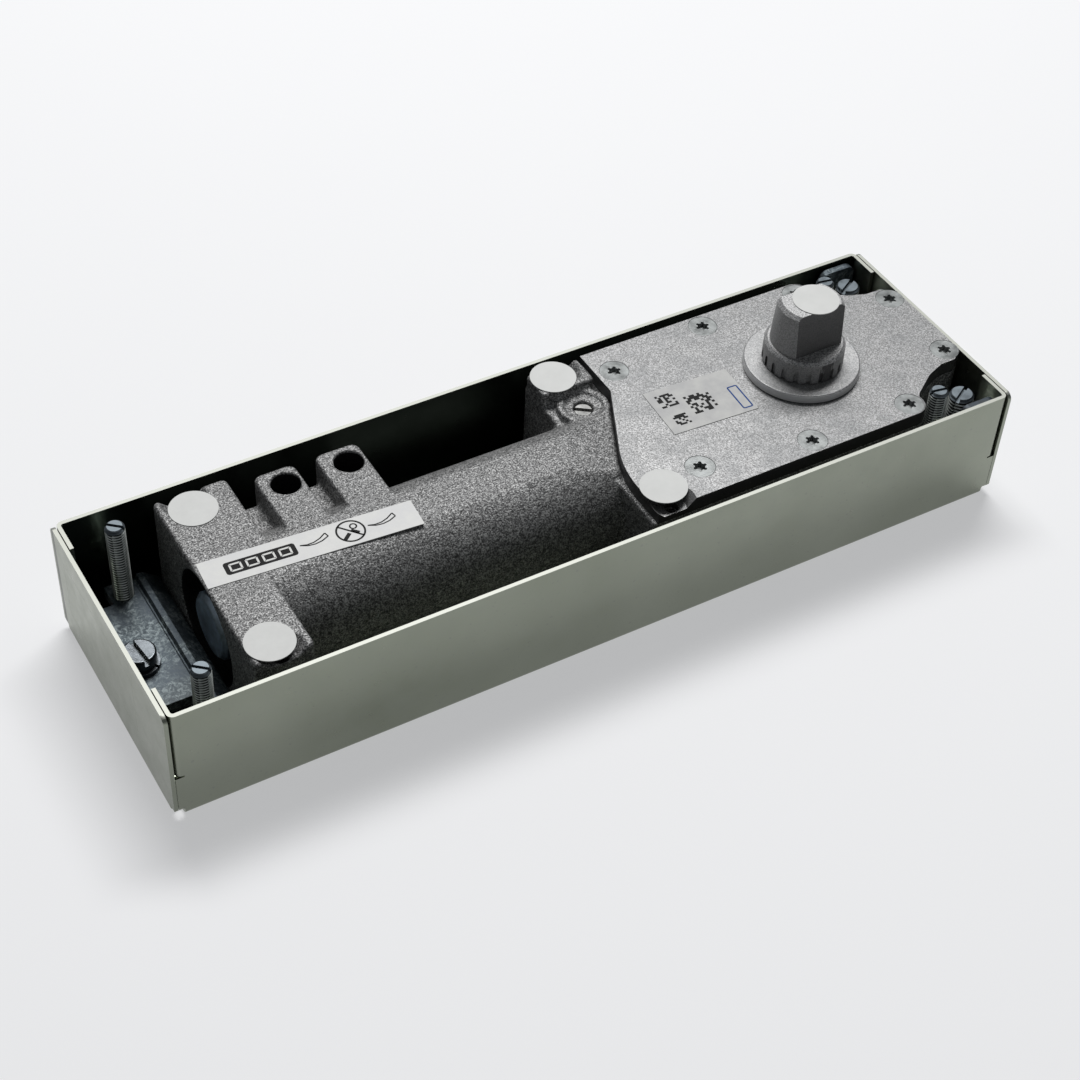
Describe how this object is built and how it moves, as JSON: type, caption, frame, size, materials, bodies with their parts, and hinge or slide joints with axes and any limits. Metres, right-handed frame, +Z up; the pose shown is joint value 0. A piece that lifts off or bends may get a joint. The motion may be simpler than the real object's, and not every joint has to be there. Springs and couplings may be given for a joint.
{
  "type": "floor-mounted door closer",
  "caption": "Floor-mounted hydraulic door closer: cast spring tube and cam housing with a tapered flat-sided spindle, levelled and clamped inside an open sheet-steel cement box.",
  "frame": {"origin": "centre of the cement box's underside", "axes": "+X along the box from the spring end to the spindle end, +Y across the box towards the long side that the valve screws are on, +Z up along the spindle"},
  "size_m": [0.288, 0.0834, 0.0696],
  "materials": {
    "galvanised_sheet": "satin",
    "cast_housing": "coarse, sand cast and coated",
    "cover_plate": "blasted, matt",
    "zinc_plate": "mottled zinc",
    "zinc_screws": "bright zinc",
    "zinc_steel": "satin",
    "spindle_steel": "satin, phosphated",
    "dark_steel": "oiled",
    "bearing_steel": "ground",
    "spring_steel": "oiled",
    "rubber_black": "matt",
    "paper_dot": "matt",
    "label_film": "semi-matt"
  },
  "bodies": {
    "base": {"cement_box": "galvanised_sheet", "floor_bushes": "zinc_steel", "closer_housing": "cast_housing", "filler_plug": "zinc_steel", "top_cover": "cover_plate", "cover_gasket": "rubber_black", "cover_screws": "zinc_screws", "upper_bearing_ring": "bearing_steel", "upper_bearing_needles": "bearing_steel", "lower_bearing_ring": "bearing_steel", "lower_bearing_needles": "bearing_steel", "shaft_seal": "rubber_black", "end_plug": "dark_steel", "end_plug_seal": "rubber_black", "spring_seat": "dark_steel", "closing_spring": "spring_steel", "left_clamp_plate": "zinc_plate", "left_spring_washer": "zinc_screws", "right_clamp_bracket": "zinc_plate", "mount_dots": "paper_dot", "valve_label": "label_film", "plate_label": "label_film"},
    "spindle": {"spindle": "spindle_steel", "spindle_collar": "spindle_steel", "spindle_dot": "paper_dot", "heart_cam": "dark_steel", "cam_key": "dark_steel"},
    "piston": {"piston": "dark_steel", "piston_seal": "rubber_black", "push_fork": "dark_steel", "fork_pin": "bearing_steel", "roller_pin": "bearing_steel", "check_ball": "bearing_steel", "check_retainer": "dark_steel"},
    "roller": {"cam_roller": "bearing_steel"},
    "closing_valve": {"closing_valve_screw": "dark_steel", "closing_valve_seal": "rubber_black"},
    "latch_valve": {"latch_valve_screw": "dark_steel", "latch_valve_seal": "rubber_black"},
    "left_clamp": {"left_clamp_screw": "zinc_screws"},
    "left_level_rear": {"left_level_screw_rear": "zinc_screws"},
    "right_level_rear": {"right_level_screw_rear": "zinc_screws"},
    "right_clamp_rear": {"right_clamp_screw_rear": "zinc_screws"},
    "left_level_front": {"left_level_screw_front": "zinc_screws"},
    "right_level_front": {"right_level_screw_front": "zinc_screws"},
    "right_clamp_front": {"right_clamp_screw_front": "zinc_screws"}
  },
  "joints": [
    {"name": "spindle_turn", "type": "hinge", "parent": "base", "child": "spindle", "pos_m": [0.0912, 0, 0.04], "axis": [0, 0, 1], "range_deg": [0, 180]},
    {"name": "piston_slide", "type": "slide", "parent": "base", "child": "piston", "axis": [-1, 0, 0], "range_m": [0, 0.018], "deforming": ["closing_spring"]},
    {"name": "roller_spin", "type": "hinge", "parent": "piston", "child": "roller", "pos_m": [0.0702, 0, 0.0235], "axis": [0, 0, 1], "continuous": true},
    {"name": "closing_valve_turn", "type": "hinge", "parent": "base", "child": "closing_valve", "pos_m": [-0.0767, 0.0257, 0.02], "axis": [0, 0, 1], "range_deg": [0, 720]},
    {"name": "latch_valve_turn", "type": "hinge", "parent": "base", "child": "latch_valve", "pos_m": [-0.056, 0.0257, 0.02], "axis": [0, 0, 1], "range_deg": [0, 720]},
    {"name": "left_clamp_turn", "type": "hinge", "parent": "base", "child": "left_clamp", "pos_m": [-0.1346, 0.0025, 0.01], "axis": [0, 0, 1], "range_deg": [-1080, 1080]},
    {"name": "left_level_rear_turn", "type": "hinge", "parent": "base", "child": "left_level_rear", "pos_m": [-0.1283, 0.0307, 0.02], "axis": [0, 0, 1], "range_deg": [-1080, 1080]},
    {"name": "right_level_rear_turn", "type": "hinge", "parent": "base", "child": "right_level_rear", "pos_m": [0.1228, 0.031, 0.02], "axis": [0, 0, 1], "range_deg": [-1080, 1080]},
    {"name": "right_clamp_rear_turn", "type": "hinge", "parent": "base", "child": "right_clamp_rear", "pos_m": [0.133, 0.031, 0.02], "axis": [0, 0, 1], "range_deg": [-1080, 1080]},
    {"name": "left_level_front_turn", "type": "hinge", "parent": "base", "child": "left_level_front", "pos_m": [-0.1283, -0.0307, 0.02], "axis": [0, 0, 1], "range_deg": [-1080, 1080]},
    {"name": "right_level_front_turn", "type": "hinge", "parent": "base", "child": "right_level_front", "pos_m": [0.1228, -0.031, 0.02], "axis": [0, 0, 1], "range_deg": [-1080, 1080]},
    {"name": "right_clamp_front_turn", "type": "hinge", "parent": "base", "child": "right_clamp_front", "pos_m": [0.133, -0.031, 0.02], "axis": [0, 0, 1], "range_deg": [-1080, 1080]}
  ],
  "couplings": [
    {"joint": "piston_slide", "follows": "spindle_turn", "m_per_rad": 0.0057296}
  ]
}
